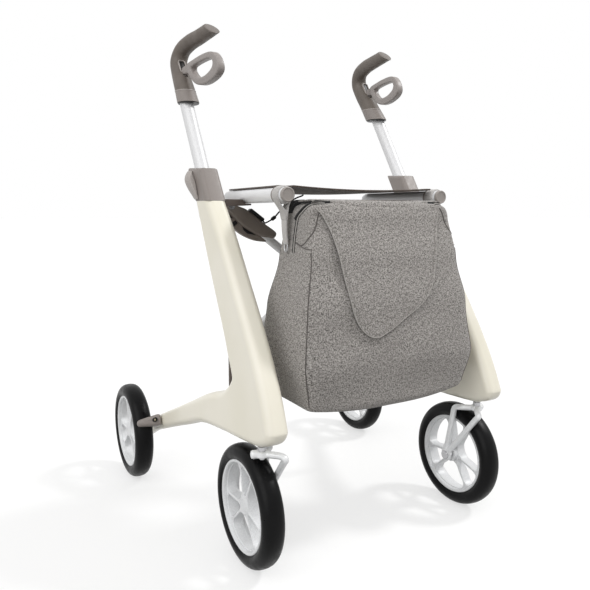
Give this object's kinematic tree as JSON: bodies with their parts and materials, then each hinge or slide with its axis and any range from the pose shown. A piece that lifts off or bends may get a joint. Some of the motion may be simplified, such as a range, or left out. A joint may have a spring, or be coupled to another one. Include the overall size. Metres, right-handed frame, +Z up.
{
  "type": "rollator",
  "caption": "Folding walking frame on wheels with shell side frames, height-adjustable handles with loop brake levers, a seat on a scissor brace and a hanging bag.",
  "frame": {"origin": "the point on the floor midway between the front and the rear wheel contacts and midway between the two side frames", "axes": "+Z is up. The front, where the bag hangs, faces -Y, and the person walks behind it at +Y, facing -Y. +X is to the right as seen from the front; left means the -X side and right the +X side."},
  "size_m": [0.632, 0.642, 0.905],
  "materials": {
    "carbon_shell": "cream lacquer over a moulded carbon-fibre shell, soft gloss",
    "dark_plastic": "dark taupe moulded nylon, satin",
    "taupe_plastic": "light taupe moulded nylon, satin",
    "grip_rubber": "dark taupe soft-touch rubber, matt",
    "silver_tube": "bright anodised aluminium tube",
    "polished_fork": "polished cast aluminium",
    "steel": "zinc-plated steel fasteners and axles",
    "white_rim": "off-white moulded nylon, semi-gloss",
    "tyre_rubber": "black solid polyurethane tyre, matt",
    "seat_fabric": "dark brown-grey coated seat sheet",
    "bag_fabric": "grey melange woven fabric",
    "strap_fabric": "light grey woven strap",
    "black_plastic": "black plastic"
  },
  "bodies": {
    "left_frame": {"left_side_frame": "carbon_shell", "left_collar": "taupe_plastic", "left_rail_cradle": "taupe_plastic", "left_lower_bracket": "dark_plastic", "left_lower_pivot_pin": "steel", "left_brake_cable": "black_plastic", "left_rear_axle": "steel"},
    "right_frame": {"right_side_frame": "carbon_shell", "right_collar": "taupe_plastic", "right_rail_cradle": "taupe_plastic", "right_lower_bracket": "dark_plastic", "right_lower_pivot_pin": "steel", "right_brake_cable": "black_plastic", "right_rear_axle": "steel"},
    "front_brace": {"front_brace_tube": "silver_tube", "front_brace_end": "dark_plastic", "brace_centre_bolt": "steel"},
    "rear_brace": {"rear_brace_tube": "silver_tube", "rear_brace_end": "dark_plastic", "release_cord": "black_plastic"},
    "left_rail": {"left_seat_rail": "silver_tube", "left_rail_cap": "taupe_plastic", "left_upper_pivot_bolt": "steel", "left_bag_strap": "strap_fabric", "seat_sheet": "seat_fabric", "bag_body": "bag_fabric"},
    "right_rail": {"right_seat_rail": "silver_tube", "right_rail_cap": "taupe_plastic", "right_upper_pivot_bolt": "steel", "right_bag_strap": "strap_fabric"},
    "bag_flap": {"bag_flap": "bag_fabric"},
    "fold_latch": {"fold_latch": "black_plastic"},
    "left_handle": {"left_handle_tube": "silver_tube", "left_handle_base": "taupe_plastic", "left_hand_grip": "grip_rubber", "left_lever_pin": "steel"},
    "right_handle": {"right_handle_tube": "silver_tube", "right_handle_base": "taupe_plastic", "right_hand_grip": "grip_rubber", "right_lever_pin": "steel"},
    "left_brake_lever": {"left_brake_lever": "taupe_plastic"},
    "right_brake_lever": {"right_brake_lever": "taupe_plastic"},
    "left_clamp_lever": {"left_clamp_lever": "taupe_plastic"},
    "right_clamp_lever": {"right_clamp_lever": "taupe_plastic"},
    "left_brake_shoe": {"left_brake_shoe": "taupe_plastic"},
    "right_brake_shoe": {"right_brake_shoe": "taupe_plastic"},
    "left_caster": {"left_caster_stem": "steel", "left_caster_fork": "polished_fork", "left_caster_axle": "steel"},
    "right_caster": {"right_caster_stem": "steel", "right_caster_fork": "polished_fork", "right_caster_axle": "steel"},
    "left_caster_wheel": {"left_caster_rim": "white_rim", "left_caster_tyre": "tyre_rubber"},
    "right_caster_wheel": {"right_caster_rim": "white_rim", "right_caster_tyre": "tyre_rubber"},
    "left_rear_wheel": {"left_rear_rim": "white_rim", "left_rear_tyre": "tyre_rubber"},
    "right_rear_wheel": {"right_rear_rim": "white_rim", "right_rear_tyre": "tyre_rubber"}
  },
  "joints": [
    {"name": "fold", "type": "hinge", "parent": "left_frame", "child": "front_brace", "pos_m": [-0.1705, -0.052, 0.322], "axis": [0, -1, 0], "range_deg": [0, 45.2], "deforming": ["seat_sheet", "bag_body", "bag_flap", "release_cord"]},
    {"name": "brace_cross", "type": "hinge", "parent": "front_brace", "child": "rear_brace", "pos_m": [0, -0.028, 0.4515], "axis": [0, 1, 0], "range_deg": [0, 90.4]},
    {"name": "right_frame_level", "type": "hinge", "parent": "rear_brace", "child": "right_frame", "pos_m": [0.1705, -0.028, 0.322], "axis": [0, -1, 0], "range_deg": [0, 45.2]},
    {"name": "left_rail_level", "type": "hinge", "parent": "rear_brace", "child": "left_rail", "pos_m": [-0.1705, -0.028, 0.581], "axis": [0, -1, 0], "range_deg": [0, 45.2]},
    {"name": "right_rail_level", "type": "hinge", "parent": "front_brace", "child": "right_rail", "pos_m": [0.1705, -0.052, 0.581], "axis": [0, 1, 0], "range_deg": [0, 45.2]},
    {"name": "fold_latch_lift", "type": "hinge", "parent": "rear_brace", "child": "fold_latch", "pos_m": [-0.12883, -0.028, 0.57464], "axis": [0, -1, 0], "range_deg": [0, 12], "stiffness_Nm_per_rad": 0.02, "deforming": ["release_cord"]},
    {"name": "bag_flap_lift", "type": "hinge", "parent": "left_rail", "child": "bag_flap", "pos_m": [0, -0.25, 0.578], "axis": [-1, 0, 0], "range_deg": [0, 100]},
    {"name": "left_handle_height", "type": "slide", "parent": "left_frame", "child": "left_handle", "axis": [0.0105, 0.5299, 0.848], "range_m": [-0.09, 0.05]},
    {"name": "right_handle_height", "type": "slide", "parent": "right_frame", "child": "right_handle", "axis": [-0.0105, 0.5299, 0.848], "range_m": [-0.09, 0.05]},
    {"name": "left_brake_squeeze", "type": "hinge", "parent": "left_handle", "child": "left_brake_lever", "pos_m": [-0.21454, 0.08791, 0.83428], "axis": [-1, 0, 0], "range_deg": [0, 10], "stiffness_Nm_per_rad": 0.5},
    {"name": "right_brake_squeeze", "type": "hinge", "parent": "right_handle", "child": "right_brake_lever", "pos_m": [0.21454, 0.08791, 0.83428], "axis": [-1, 0, 0], "range_deg": [0, 10], "stiffness_Nm_per_rad": 0.5},
    {"name": "left_brake_push", "type": "slide", "parent": "left_frame", "child": "left_brake_shoe", "axis": [0, 0.9063, -0.4226], "range_m": [0, 0.0022]},
    {"name": "right_brake_push", "type": "slide", "parent": "right_frame", "child": "right_brake_shoe", "axis": [0, 0.9063, -0.4226], "range_m": [0, 0.0022]},
    {"name": "left_height_clamp", "type": "hinge", "parent": "left_frame", "child": "left_clamp_lever", "pos_m": [-0.24724, -0.0373, 0.5965], "axis": [0, -1, 0], "range_deg": [0, 70]},
    {"name": "right_height_clamp", "type": "hinge", "parent": "right_frame", "child": "right_clamp_lever", "pos_m": [0.24724, -0.0373, 0.5965], "axis": [0, 1, 0], "range_deg": [0, 70]},
    {"name": "left_caster_swivel", "type": "hinge", "parent": "left_frame", "child": "left_caster", "pos_m": [-0.2267, -0.2696, 0.2175], "axis": [0, 0, 1], "continuous": true},
    {"name": "right_caster_swivel", "type": "hinge", "parent": "right_frame", "child": "right_caster", "pos_m": [0.2267, -0.2696, 0.2175], "axis": [0, 0, 1], "continuous": true},
    {"name": "left_caster_roll", "type": "hinge", "parent": "left_caster", "child": "left_caster_wheel", "pos_m": [-0.2267, -0.221, 0.1], "axis": [1, 0, 0], "continuous": true},
    {"name": "right_caster_roll", "type": "hinge", "parent": "right_caster", "child": "right_caster_wheel", "pos_m": [0.2267, -0.221, 0.1], "axis": [1, 0, 0], "continuous": true},
    {"name": "left_rear_roll", "type": "hinge", "parent": "left_frame", "child": "left_rear_wheel", "pos_m": [-0.297, 0.221, 0.1], "axis": [1, 0, 0], "continuous": true},
    {"name": "right_rear_roll", "type": "hinge", "parent": "right_frame", "child": "right_rear_wheel", "pos_m": [0.297, 0.221, 0.1], "axis": [1, 0, 0], "continuous": true}
  ],
  "couplings": [
    {"joint": "brace_cross", "follows": "fold", "ratio": 2},
    {"joint": "right_frame_level", "follows": "fold", "ratio": 1},
    {"joint": "left_rail_level", "follows": "fold", "ratio": 1},
    {"joint": "right_rail_level", "follows": "fold", "ratio": 1},
    {"joint": "left_brake_push", "follows": "left_brake_squeeze", "m_per_rad": 0.0126},
    {"joint": "right_brake_push", "follows": "right_brake_squeeze", "m_per_rad": 0.0126}
  ]
}
